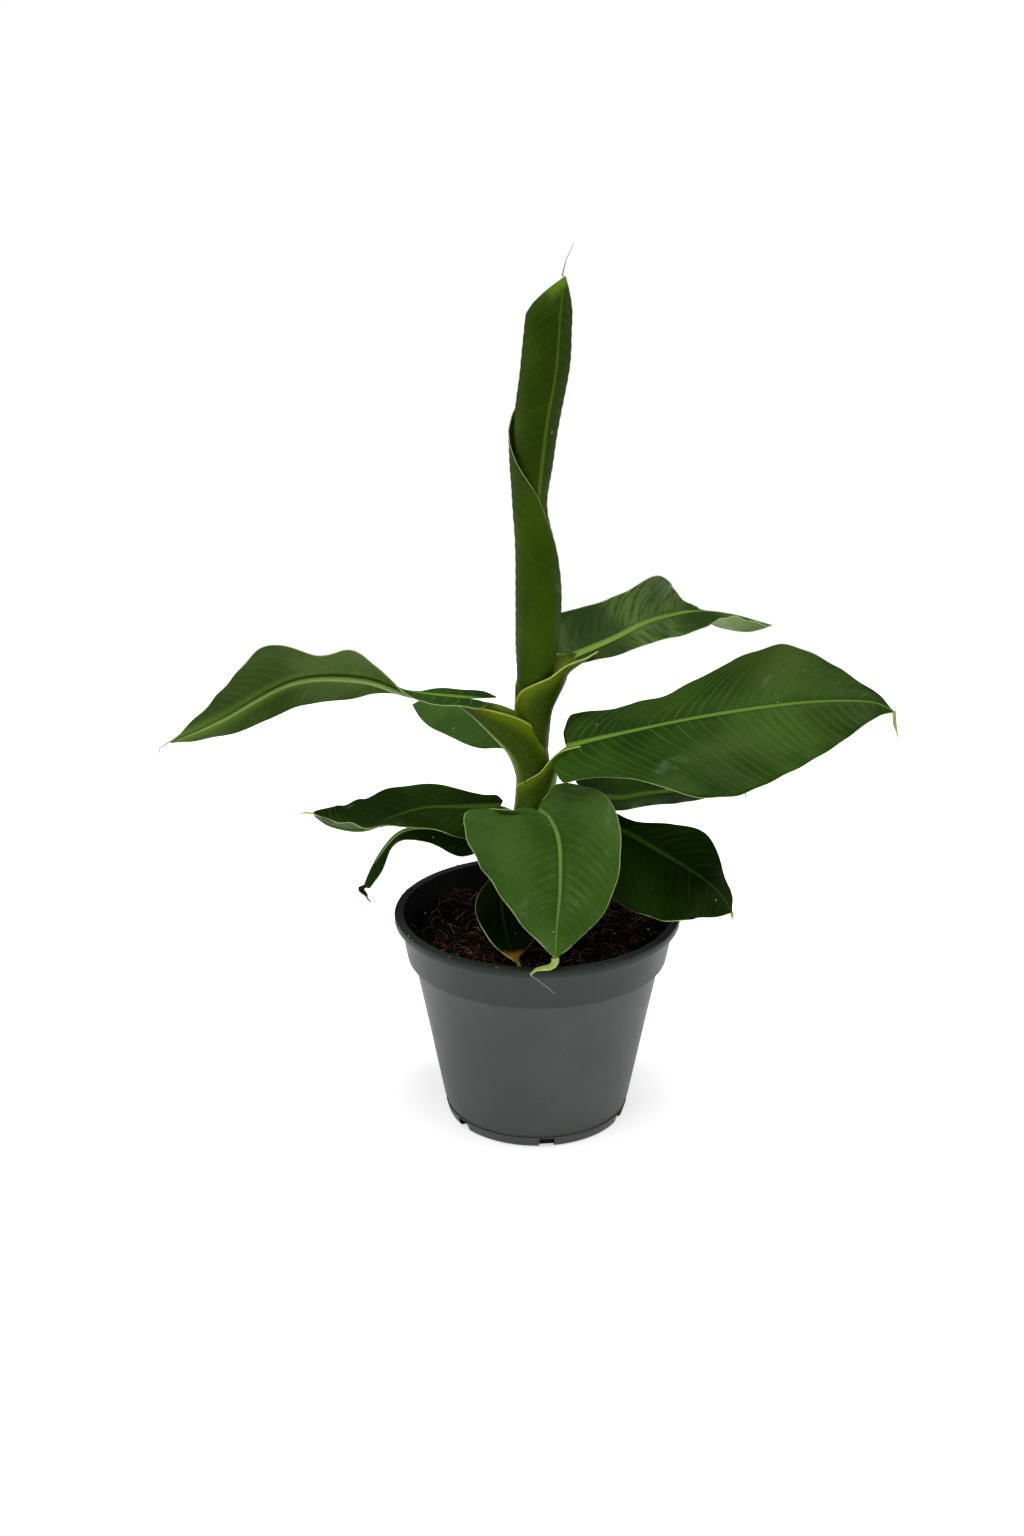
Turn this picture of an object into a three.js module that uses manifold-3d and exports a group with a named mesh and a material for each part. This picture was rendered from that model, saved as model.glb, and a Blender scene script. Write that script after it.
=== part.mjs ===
// A young dwarf banana plant in a plastic nursery pot, in millimetres, +Z up.
// The origin is the middle of the pot's flat underside; +X is the plant's right, -Y its front.
import * as THREE from 'three';
import { mergeVertices } from 'three/addons/utils/BufferGeometryUtils.js';
import Module from 'manifold-3d';

const wasm = await Module();
wasm.setup();

// ---- driving dimensions ----
const GAP = 0.3; // left between pieces that touch
const POT_HEIGHT = 130;
const RIM_R = 85; // outer radius of the lip
const LIP_HEIGHT = 5;
const COLLAR_TOP_R = 81.5;
const COLLAR_FOOT_R = 77.5;
const COLLAR_FOOT_Z = 102;
const BODY_TOP_R = 73.5;
const BASE_R = 54;
const FOOT_CHAMFER = 1.5;
const WALL = 2;
const FLOOR = 3;
const STEP = 4; // height of the slope inside, between body and collar
const SOIL_Z = 116; // level of the soil against the pot
const SOIL_RISE = 3; // the soil stands this much higher round the stem
const NOTCHES = 6; // drain notches round the foot
const NOTCH_TURN = -84; // degrees, place of the first notch
const NOTCH_WIDTH = 9;
const NOTCH_HEIGHT = 6;
const DRAIN_HOLES = 8;
const DRAIN_HOLE_R = 4;
const DRAIN_RING_R = 32;

const STEM_FOOT_Z = SOIL_Z + SOIL_RISE + GAP;
const STEM_TOP_Z = 292;
const STEM_RADII = [16.5, 14, 13, 12, 10.5, 10]; // evenly spaced up the stem
const BLADE_MID = 2.2; // thickness of a blade at its midrib
const BLADE_EDGE = 1.2; // and at its margin
const TURN_STEPS = 40; // facets round the pot
const LEAF_ROWS = 14; // facets along a blade
const LEAF_COLUMNS = 6; // and across it

const rad = THREE.MathUtils.degToRad;

// ---- curves and keys ----

// a uniform Catmull-Rom reading of evenly spaced numbers, u from 0 to 1
function along(keys, u) {
  const last = keys.length - 1;
  const x = Math.min(Math.max(u, 0), 1) * last;
  const i = Math.min(Math.floor(x), last - 1);
  const f = x - i;
  const b = keys[i];
  const c = keys[i + 1];
  const a = i > 0 ? keys[i - 1] : 2 * b - c;
  const d = i + 2 <= last ? keys[i + 2] : 2 * c - b;
  return 0.5 * (2 * b + (c - a) * f + (2 * a - 5 * b + 4 * c - d) * f * f
    + (3 * b - a - 3 * c + d) * f * f * f);
}

// the curve through a limb's points, and its frame at u: along, to the right, and up
function spine(points) {
  const curve = new THREE.CatmullRomCurve3(
    points.map((p) => new THREE.Vector3(...p)), false, 'catmullrom', 0.5);
  curve.arcLengthDivisions = 400;
  return curve;
}

function frameAt(curve, u, roll) {
  const place = curve.getPointAt(u);
  const ahead = curve.getTangentAt(u);
  const right = ahead.clone().cross(new THREE.Vector3(0, 0, 1)).normalize();
  right.applyAxisAngle(ahead, -rad(roll));
  const up = right.clone().cross(ahead);
  return { place, ahead, right, up };
}

// ---- solids ----

// moves every vertex of a geometry through a function of its unit position
function mapped(geometry, place) {
  const spots = geometry.attributes.position;
  const p = new THREE.Vector3();
  for (let i = 0; i < spots.count; i += 1) {
    p.fromBufferAttribute(spots, i);
    p.copy(place(p));
    spots.setXYZ(i, p.x, p.y, p.z);
  }
  return geometry;
}

function toSolid(geometry) {
  const bare = geometry.clone();
  bare.deleteAttribute('normal');
  bare.deleteAttribute('uv');
  const merged = mergeVertices(bare, 1e-4);
  return new wasm.Manifold(new wasm.Mesh({
    numProp: 3,
    vertProperties: new Float32Array(merged.attributes.position.array),
    triVerts: new Uint32Array(merged.index.array),
  }));
}

// the largest single body of a cut solid, as a geometry
function toGeometry(solid) {
  const bodies = solid.decompose();
  bodies.sort((a, b) => b.volume() - a.volume());
  const mesh = bodies[0].getMesh();
  const geometry = new THREE.BufferGeometry();
  geometry.setAttribute('position', new THREE.BufferAttribute(mesh.vertProperties, 3));
  geometry.setIndex(new THREE.BufferAttribute(mesh.triVerts, 1));
  geometry.computeVertexNormals();
  return geometry;
}

function turned(profile) {
  const points = profile.map(([r, z]) => new THREE.Vector2(r, z));
  const lathe = new THREE.LatheGeometry(points, TURN_STEPS);
  lathe.rotateX(Math.PI / 2);
  return toSolid(lathe);
}

// a limb of round section along its points, with radii read evenly along it
function limb(points, radii, extra = 0) {
  const curve = spine(points);
  const tube = new THREE.CylinderGeometry(1, 1, 1, 10, 6);
  return toSolid(mapped(tube, (p) => {
    const u = 0.5 - p.y;
    const { place, right, up } = frameAt(curve, u, 0);
    const r = along(radii, u) + extra;
    return place.addScaledVector(right, p.x * r).addScaledVector(up, -p.z * r);
  }));
}

// a point of a leaf's sheet: u along the midrib, side from -1 (left) to 1 (right)
function leafPoint(leaf, curve, u, side) {
  const { place, ahead, right, up } = frameAt(curve, u, along(leaf.roll, u));
  const half = side < 0 ? leaf.left : leaf.right;
  const q = Math.abs(side);
  const tipRound = Math.sqrt(Math.max(1 - (Math.max(u - 0.93, 0) / 0.07) ** 2, 0.02));
  const width = Math.max(along(half.width, u), 1.5) * tipRound;
  const fold = rad(along(half.fold, u));
  const curl = rad(along(half.curl, u)) + 1e-5;
  const across = width * (Math.sin(fold + curl * q) - Math.sin(fold)) / curl;
  const lift = -width * (Math.cos(fold + curl * q) - Math.cos(fold)) / curl;
  const back = leaf.lobe[side < 0 ? 0 : 1] * q * (2 - q) * (1 - u) ** 5;
  place.addScaledVector(right, Math.sign(side) * across);
  place.addScaledVector(up, lift);
  place.addScaledVector(ahead, -back);
  return { place, up };
}

// a leaf's blade, thick at the midrib and thin at the margin
function blade(leaf) {
  const curve = spine(leaf.rib);
  const slab = new THREE.BoxGeometry(1, 1, 1, LEAF_COLUMNS, LEAF_ROWS, 1);
  return toSolid(mapped(slab, (p) => {
    const side = 2 * p.x;
    const { place, up } = leafPoint(leaf, curve, p.y + 0.5, side);
    const thick = BLADE_EDGE + (BLADE_MID - BLADE_EDGE) * (1 - Math.abs(side)) ** 2;
    return place.addScaledVector(up, p.z * thick);
  }));
}

// ---- pot and soil ----
function innerR(z) {
  if (z >= COLLAR_FOOT_Z) {
    const share = (z - COLLAR_FOOT_Z) / (POT_HEIGHT - COLLAR_FOOT_Z);
    return COLLAR_FOOT_R + (COLLAR_TOP_R - COLLAR_FOOT_R) * share - WALL;
  }
  return BASE_R + (BODY_TOP_R - BASE_R) * z / COLLAR_FOOT_Z - WALL;
}

function makePot() {
  let pot = turned([
    [0, 0],
    [BASE_R - FOOT_CHAMFER, 0],
    [BASE_R, FOOT_CHAMFER],
    [BODY_TOP_R, COLLAR_FOOT_Z - 1],
    [COLLAR_FOOT_R, COLLAR_FOOT_Z],
    [COLLAR_TOP_R, POT_HEIGHT - LIP_HEIGHT],
    [RIM_R - 1, POT_HEIGHT - LIP_HEIGHT],
    [RIM_R, POT_HEIGHT - LIP_HEIGHT + 1],
    [RIM_R, POT_HEIGHT - 1],
    [RIM_R - 1, POT_HEIGHT],
    [innerR(POT_HEIGHT), POT_HEIGHT],
    [innerR(COLLAR_FOOT_Z), COLLAR_FOOT_Z],
    [innerR(COLLAR_FOOT_Z - STEP), COLLAR_FOOT_Z - STEP],
    [innerR(FLOOR), FLOOR],
    [0, FLOOR],
  ]);
  for (let i = 0; i < NOTCHES; i += 1) {
    const notch = new THREE.BoxGeometry(NOTCH_WIDTH, 4 * WALL, 2 * NOTCH_HEIGHT);
    notch.translate(0, BASE_R, 0);
    notch.rotateZ(rad(NOTCH_TURN - 90 + 360 * i / NOTCHES));
    pot = pot.subtract(toSolid(notch));
  }
  for (let i = 0; i < DRAIN_HOLES; i += 1) {
    const turn = 2 * Math.PI * i / DRAIN_HOLES;
    const hole = new THREE.CylinderGeometry(DRAIN_HOLE_R, DRAIN_HOLE_R, 4 * FLOOR, 12);
    hole.rotateX(Math.PI / 2);
    hole.translate(DRAIN_RING_R * Math.cos(turn), DRAIN_RING_R * Math.sin(turn), 0);
    pot = pot.subtract(toSolid(hole));
  }
  return pot;
}

function makeSoil() {
  const foot = NOTCH_HEIGHT + 1;
  return turned([
    [0, FLOOR + GAP],
    [innerR(foot) - 3 * WALL, FLOOR + GAP],
    [innerR(foot) - 3 * WALL, foot],
    [innerR(foot) - GAP, foot],
    [innerR(COLLAR_FOOT_Z - STEP) - GAP, COLLAR_FOOT_Z - STEP],
    [innerR(COLLAR_FOOT_Z) - 2 * GAP, COLLAR_FOOT_Z],
    [innerR(SOIL_Z) - 2 * GAP, SOIL_Z],
    [0.5 * RIM_R, SOIL_Z + 0.5 * SOIL_RISE],
    [0.25 * RIM_R, SOIL_Z + SOIL_RISE],
    [0, SOIL_Z + SOIL_RISE],
  ]);
}

// ---- stem and rolled leaf ----
const STEM_LINE = [[0, 0, STEM_FOOT_Z], [-0.5, 0, 180], [-3, 0, 235], [-3, 0, STEM_TOP_Z]];

function makeStem(extra = 0) {
  const curve = spine(STEM_LINE);
  const tube = new THREE.CylinderGeometry(1, 1, 1, 18, 8);
  return toSolid(mapped(tube, (p) => {
    const u = p.y + 0.5;
    const place = curve.getPointAt(u);
    const r = along(STEM_RADII, u) + extra;
    place.z += Math.sign(p.y) * (Math.abs(p.y) > 0.499 ? extra : 0);
    return place.add(new THREE.Vector3(p.x * r, -p.z * r, 0));
  }));
}

// the newest leaf, still rolled: a long upright roll, narrow where its outer wrap ends
const ROLL_LINE = [
  [-2.5, 0, STEM_TOP_Z + GAP], [-1, 0, 330], [-4, 0, 368], [-4, 0, 406],
  [-1, 0, 438], [3, 0, 470], [10, 0, 500],
];
const ROLL_RADII = [10.5, 13, 11, 13.5, 13.5, 12.5, 2];

function makeRoll() {
  const curve = spine(ROLL_LINE);
  const tube = new THREE.CylinderGeometry(1, 1, 1, 16, 15);
  return toSolid(mapped(tube, (p) => {
    const u = p.y + 0.5;
    const place = curve.getPointAt(u);
    const r = along(ROLL_RADII, u);
    return place.add(new THREE.Vector3(p.x * r, -p.z * r * 0.9, 0));
  }));
}

// ---- leaves ----
// rib: points of the midrib from the petiole to the tip.
// roll: turn of the blade about the midrib, in degrees, read evenly along it.
// left and right halves, as seen from above looking to the tip: width, fold (slope where the
// half leaves the midrib) and curl (how far its slope turns by the margin), all read evenly.
// lobe: how far the base of the left and of the right half reaches back past the petiole.
// stalk: points and radii of the petiole, from inside the stem to the blade.
const LEAVES = {
  upper_right: {
    rib: [[23, 10, 286], [43, 32, 288], [67, 62, 290.5], [97, 96, 287], [122, 118, 279], [149, 134, 267]],
    roll: [-40, -45, -45, -20, 5],
    left: {
      width: [28, 25, 23, 22, 28, 19, 11, 11, 14, 9, 2],
      fold: [10, 20, 25, -60, -110],
      curl: [5, 30, -5],
    },
    right: { width: [6, 10.5, 14, 15, 8, 2], fold: [-5, -5, 15, -15], curl: [0, -5, 5] },
    lobe: [23, 6],
    stalk: [[0, 0.5, 232], [7, 3, 258], [15, 6, 277], [23, 10, 286]],
    stalkRadii: [8, 7, 5, 3.5],
  },
  upper_left: {
    rib: [[-42, -10, 266], [-72, -17, 272], [-99, -24, 282], [-137, -34, 283], [-177, -42, 263],
      [-205, -46, 252]],
    roll: [8, 8, -8, -42, -65, -71, -75, -80, -85, -73, -55],
    left: {
      width: [14, 13, 13, 18, 24.5, 17.5, 32.5, 23.5, 14.5, 8, 2],
      fold: [0, -5, 0],
      curl: [0, -20, 0],
    },
    right: { width: [12, 8, 15, 15, 11, 3], fold: [0, -5, 0], curl: [0, -20, 0] },
    lobe: [12, 20],
    stalk: [[-4, -3, 206], [-12, -6, 234], [-26, -8, 254], [-42, -10, 266]],
    stalkRadii: [9, 7, 5, 3.5],
  },
  back_left: {
    rib: [[-9, 18, 239], [-22, 30, 244], [-43, 52, 243], [-62, 76, 238], [-71, 95, 231], [-74, 106, 221]],
    roll: [5, 0, 0],
    left: { width: [14, 25, 24, 20, 10, 2], fold: [-50, -40, -30], curl: [-10, -10, 0] },
    right: { width: [14, 26, 30, 26, 16, 2], fold: [-50, -50, -40], curl: [-10, -10, 0] },
    lobe: [6, 6],
    stalk: [[-2, 4, 205], [-5, 12, 226], [-9, 18, 239]],
    stalkRadii: [7, 5, 3.5],
  },
  right: {
    rib: [[16, -9, 236], [42, -13, 244], [94, -20, 258], [147, -26, 268], [184, -30, 270], [199, -32, 265]],
    roll: [-38, -18, -35, -45, -40],
    left: {
      width: [24, 26.5, 31.5, 33.5, 37, 42.5, 43.5, 40, 28, 11, 1.5],
      fold: [0, 0, 0],
      curl: [-15, -20, 0],
    },
    right: { width: [24, 27.5, 40, 54, 60, 56, 48, 40, 30, 17, 3], fold: [5, 5, 0], curl: [-15, -15, 0] },
    lobe: [1, 9],
    stalk: [[2, -4, 196], [7, -7, 216], [16, -9, 236]],
    stalkRadii: [9, 7, 3.5],
  },
  front: {
    rib: [[0, -17, 200], [7, -25, 197], [12, -41, 188], [12, -62, 170], [10, -78, 155], [9, -88, 139]],
    roll: [-15, -5, 10, 40],
    left: { width: [14, 36, 41, 33, 20, 2], fold: [35, 20, 0], curl: [25, 15, 0] },
    right: { width: [16, 60, 63, 52, 28, 2], fold: [30, 25, 0], curl: [10, 15, 0] },
    lobe: [1, 1],
    stalk: [[0, -5, 170], [0, -13, 188], [0, -17, 200]],
    stalkRadii: [8, 6, 4],
  },
  left: {
    rib: [[-22, 6, 194], [-46, 4, 194], [-67, 2, 194], [-85, 0, 189], [-103, -1, 182], [-121, 0, 184],
      [-132, 3, 190]],
    roll: [15, 10, 10, -5],
    left: { width: [20, 20, 17, 22, 16, 3], fold: [-35, -15, 35, 30], curl: [-25, -10, 10] },
    right: { width: [10, 19, 28, 29, 28, 8], fold: [5, 5, 15], curl: [-10, -10, 5] },
    lobe: [2, 2],
    stalk: [[-4, 1, 166], [-12, 4, 184], [-22, 6, 194]],
    stalkRadii: [7, 5, 3.5],
  },
  low_left: {
    rib: [[-23, 12, 175], [-40, 18, 174], [-64, 26, 173], [-82, 30, 169], [-95, 32, 154], [-105, 32, 133],
      [-104, 31, 125]],
    roll: [-10, 0, 0],
    left: { width: [12, 19, 12, 8, 5, 8, 2], fold: [-40, -45, -60, -30], curl: [-5, -10, 0] },
    right: { width: [10, 16, 12, 8, 5, 8, 2], fold: [-40, -40, -70, -40], curl: [-10, -10, 0] },
    lobe: [0, 0],
    stalk: [[-3, 2, 148], [-12, 8, 166], [-23, 12, 175]],
    stalkRadii: [6, 4.5, 3],
  },
  back_right: {
    rib: [[36, 16, 196], [50, 32, 189], [69, 56, 183], [96, 84, 175], [118, 104, 170], [132, 116, 164]],
    roll: [-45, -45, -60, -35],
    left: { width: [20, 24, 32, 28, 16, 2], fold: [5, 0, 0], curl: [5, 0, 0] },
    right: { width: [9, 8, 8, 8, 7, 2], fold: [-5, -15, -10], curl: [-15, -20, -5] },
    lobe: [16, 0],
    stalk: [[4, 2, 158], [18, 8, 184], [36, 16, 196]],
    stalkRadii: [7, 5, 3.5],
  },
  low_right: {
    rib: [[35, -4, 186], [51, -12, 184], [74, -28, 176], [95, -42, 167], [105, -48, 159], [110, -52, 151]],
    roll: [-40, -45, -25, -10],
    left: { width: [14, 8, 17, 24, 13, 2], fold: [10, 5, -5], curl: [5, 5, 0] },
    right: { width: [20, 34, 38, 36, 33, 14], fold: [-5, -10, -5], curl: [-15, -15, -5] },
    lobe: [8, 8],
    stalk: [[4, -1, 146], [16, -2, 172], [35, -4, 186]],
    stalkRadii: [6, 4.5, 3.5],
  },
  low_front: {
    rib: [[-10, -22, 182], [-17, -32, 171], [-21, -48, 157], [-18, -64, 143], [-15, -72, 136],
      [-12, -76, 131]],
    roll: [-10, -10, 15, 15],
    left: { width: [10, 18, 22, 25, 18, 3], fold: [10, -5, 0], curl: [-10, -20, 0] },
    right: { width: [10, 10, 14, 15, 12, 2], fold: [10, -5, 0], curl: [-10, -20, 0] },
    lobe: [3, 3],
    stalk: [[-2, -3, 148], [-6, -12, 168], [-10, -22, 182]],
    stalkRadii: [6, 4.5, 3],
  },
};

// ---- scene graph ----
const COLOURS = {
  pot: [0x50595a, 0.45], soil: [0x21140e, 0.95], stem: [0x5f7a22, 0.5], leaf: [0x2f5a1c, 0.4],
  lowLeaf: [0x24430f, 0.4],
};
const plant = new THREE.Group();

function add(name, solid, [colour, roughness]) {
  const material = new THREE.MeshStandardMaterial({ color: colour, roughness, metalness: 0 });
  const mesh = new THREE.Mesh(toGeometry(solid), material);
  mesh.name = name;
  plant.add(mesh);
}

add('pot', makePot(), COLOURS.pot);
add('soil', makeSoil(), COLOURS.soil);
add('pseudostem', makeStem(), COLOURS.stem);
add('rolled_leaf', makeRoll(), COLOURS.leaf);
const thickStem = makeStem(GAP);
const roll = makeRoll();
const stalks = {};
let allStalks = null; // every petiole so far, thickened by the gap
for (const [name, leaf] of Object.entries(LEAVES)) {
  const stalk = limb(leaf.stalk, leaf.stalkRadii).subtract(thickStem);
  stalks[name] = allStalks ? stalk.subtract(allStalks) : stalk;
  const thick = limb(leaf.stalk, leaf.stalkRadii, GAP);
  allStalks = allStalks ? allStalks.add(thick) : thick;
}
for (const [name, leaf] of Object.entries(LEAVES)) {
  const low = name.startsWith('low') || name === 'left';
  const sheet = blade(leaf).subtract(thickStem).subtract(allStalks).subtract(roll);
  add(`petiole_${name}`, stalks[name], COLOURS.stem);
  add(`leaf_${name}`, sheet, low ? COLOURS.lowLeaf : COLOURS.leaf);
}

export default plant;
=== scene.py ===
"""The looks of a young dwarf banana plant in a plastic nursery pot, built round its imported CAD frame."""
import math
import random
from functools import lru_cache

import bmesh
import bpy
from mathutils import Matrix, Vector, noise


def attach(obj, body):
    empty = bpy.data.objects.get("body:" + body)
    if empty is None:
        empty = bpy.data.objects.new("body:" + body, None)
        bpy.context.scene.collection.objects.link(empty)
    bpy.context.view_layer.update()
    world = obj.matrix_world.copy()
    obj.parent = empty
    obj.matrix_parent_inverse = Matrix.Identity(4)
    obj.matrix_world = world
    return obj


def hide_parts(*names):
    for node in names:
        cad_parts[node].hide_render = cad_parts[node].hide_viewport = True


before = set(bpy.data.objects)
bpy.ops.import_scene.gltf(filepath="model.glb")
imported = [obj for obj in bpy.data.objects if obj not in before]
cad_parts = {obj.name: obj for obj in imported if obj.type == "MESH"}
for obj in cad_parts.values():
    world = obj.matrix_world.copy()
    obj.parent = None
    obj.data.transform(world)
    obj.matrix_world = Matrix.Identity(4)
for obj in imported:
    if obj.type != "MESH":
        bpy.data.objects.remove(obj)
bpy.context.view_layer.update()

MM = 0.001
UPRIGHT = Vector((0, 0, 1))
chance = random.Random(40)

# ---- driving sizes, in millimetres, as in the CAD part ----
POT_HEIGHT = 130
RIM_R = 85
LIP_HEIGHT = 5
LIP_Z = POT_HEIGHT - LIP_HEIGHT
COLLAR_TOP_R = 81.5
COLLAR_FOOT_R = 77.5
COLLAR_FOOT_Z = 102
BODY_TOP_R = 73.5
BASE_R = 54
WALL = 2
FLOOR = 3
FOOT_LINE_Z = 7
FOOT_BAND_Z = 12
STEP = 4              # height of the slope inside, between body and collar
SOIL_Z = 116
SOIL_RISE = 3
NOTCHES = 6
NOTCH_TURN = -84
NOTCH_WIDTH = 9
NOTCH_HEIGHT = 6
DRAIN_HOLES = 8
DRAIN_HOLE_R = 4
DRAIN_RING_R = 32

# ---- sizes that are finer here than in the CAD part, in millimetres ----
BLADE_THICKNESS = 0.55
SHEATH_THICKNESS = 0.8
STEM_LINE = [(0, 0, 119.3), (-0.5, 0, 180), (-3, 0, 235), (-3, 0, 292)]
STEM_RADII = [14.6, 12.4, 10.6, 8.8, 7.4, 6.8]

# ---- camera ----
LENS = 50
SENSOR = 36
ELEVATION = 20
DISTANCE = 1240
TARGET = Vector((-15, 0, 219.5))


# ---- curves and keys ----
def along(keys, u):
    """A uniform Catmull-Rom reading of evenly spaced numbers or points, u from 0 to 1."""
    last = len(keys) - 1
    x = min(max(u, 0.0), 1.0) * last
    i = min(int(x), last - 1)
    f = x - i
    b, c = keys[i], keys[i + 1]
    a = keys[i - 1] if i > 0 else 2 * b - c
    d = keys[i + 2] if i + 2 <= last else 2 * c - b
    return 0.5 * (2 * b + (c - a) * f + (2 * a - 5 * b + 4 * c - d) * f * f
                  + (3 * b - a - 3 * c + d) * f * f * f)


def smooth(low, high, x):
    """0 below low, 1 above high, and a soft step between them."""
    t = min(max((x - low) / (high - low), 0.0), 1.0)
    return t * t * (3 - 2 * t)


class Spine:
    """A smooth line through points, read by its length."""

    STEPS = 400

    def __init__(self, points):
        self.points = [Vector(p) for p in points]
        marks = [along(self.points, i / self.STEPS) for i in range(self.STEPS + 1)]
        self.run = [0.0]
        for a, b in zip(marks, marks[1:]):
            self.run.append(self.run[-1] + (b - a).length)
        self.length = self.run[-1]

    def at(self, u):
        """The place and the heading at share u of the length."""
        goal = min(max(u, 0.0), 1.0) * self.length
        low, high = 0, self.STEPS
        while high - low > 1:
            middle = (low + high) // 2
            if self.run[middle] <= goal:
                low = middle
            else:
                high = middle
        share = (goal - self.run[low]) / max(self.run[high] - self.run[low], 1e-9)
        t = (low + share) / self.STEPS
        nudge = 0.002
        ahead = along(self.points, t + nudge) - along(self.points, t - nudge)
        return along(self.points, t), ahead.normalized()

    def frame(self, u, roll=0.0):
        """Place, heading, right and up, turned about the heading by roll degrees."""
        place, ahead = self.at(u)
        right = ahead.cross(UPRIGHT).normalized()
        right = Matrix.Rotation(-math.radians(roll), 3, ahead) @ right
        return place, ahead, right, right.cross(ahead)


# ---- meshes ----
def mesh_from(bm, name):
    """A named mesh of a bmesh, which it frees."""
    mesh = bpy.data.meshes.new(name)
    bm.to_mesh(mesh)
    bm.free()
    return mesh


def new_object(name, data):
    """An object of the scene that holds a mesh, curve, light or camera."""
    made = bpy.data.objects.new(name, data)
    bpy.context.scene.collection.objects.link(made)
    return made


def sheet_mesh(columns, rows, spot):
    """A grid whose vertices go where spot(x, y) says, x and y from 0 to 1, with its named UV maps."""
    bm = bmesh.new()
    bmesh.ops.create_grid(bm, x_segments=columns, y_segments=rows, size=0.5)
    bm.verts.index_update()
    spots = [spot(v.co.x + 0.5, v.co.y + 0.5) for v in bm.verts]
    layers = {key: bm.loops.layers.uv.new(key) for key in spots[0][1]}
    for face in bm.faces:
        for loop in face.loops:
            maps = spots[loop.vert.index][1]
            for key, layer in layers.items():
                loop[layer].uv = maps[key]
    for vertex, (place, _) in zip(bm.verts, spots):
        vertex.co = place * MM
    return bm


def tube_mesh(sides, rows, spot):
    """A closed round of grid: spot(x, y) has to meet itself at x 0 and 1. Its ends are capped."""
    bm = sheet_mesh(sides, rows, spot)
    bmesh.ops.remove_doubles(bm, verts=bm.verts, dist=0.01 * MM)
    bmesh.ops.holes_fill(bm, edges=[e for e in bm.edges if e.is_boundary], sides=0)
    bmesh.ops.recalc_face_normals(bm, faces=bm.faces)
    return bm


def piece_from(bm, name, materials, replaces=(), sharp=60):
    """The finished object of a bmesh, riding on the plant."""
    mesh = mesh_from(bm, name)
    mesh.shade_smooth()
    mesh.set_sharp_from_angle(angle=math.radians(sharp))
    for material in materials:
        mesh.materials.append(material)
    piece = new_object(name, mesh)
    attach(piece, "root")
    if replaces:
        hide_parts(*replaces)
    return piece


def thicken(piece, thickness, offset=0.0):
    """Gives a sheet its thickness, its second material on the face under it and its third on the rim."""
    solidify = piece.modifiers.new("thickness", "SOLIDIFY")
    solidify.thickness = thickness * MM
    solidify.offset = offset
    solidify.material_offset = 1
    solidify.material_offset_rim = 2


def strands_mesh(strands, sides=4):
    """One bmesh of many thin tapered strands, each a list of (point, radius)."""
    curve = bpy.data.curves.new("strands", "CURVE")
    curve.dimensions = "3D"
    curve.bevel_depth = 1.0
    curve.bevel_resolution = (sides - 4) // 2
    curve.use_fill_caps = True
    for strand in strands:
        spline = curve.splines.new("POLY")
        spline.points.add(len(strand) - 1)
        for point, (place, radius) in zip(spline.points, strand):
            point.co = (*(Vector(place) * MM), 1)
            point.radius = radius * MM
    holder = new_object("strands", curve)
    bm = bmesh.new()
    bm.from_mesh(holder.to_mesh())
    bpy.data.objects.remove(holder)
    bpy.data.curves.remove(curve)
    return bm


# ---- looks ----
def tone(red, green, blue):
    """A colour given in screen values from 0 to 255, as the linear one that a shader takes."""
    parts = [c / 255 for c in (red, green, blue)]
    return (*[c / 12.92 if c < 0.04 else ((c + 0.055) / 1.055) ** 2.4 for c in parts], 1.0)


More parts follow.
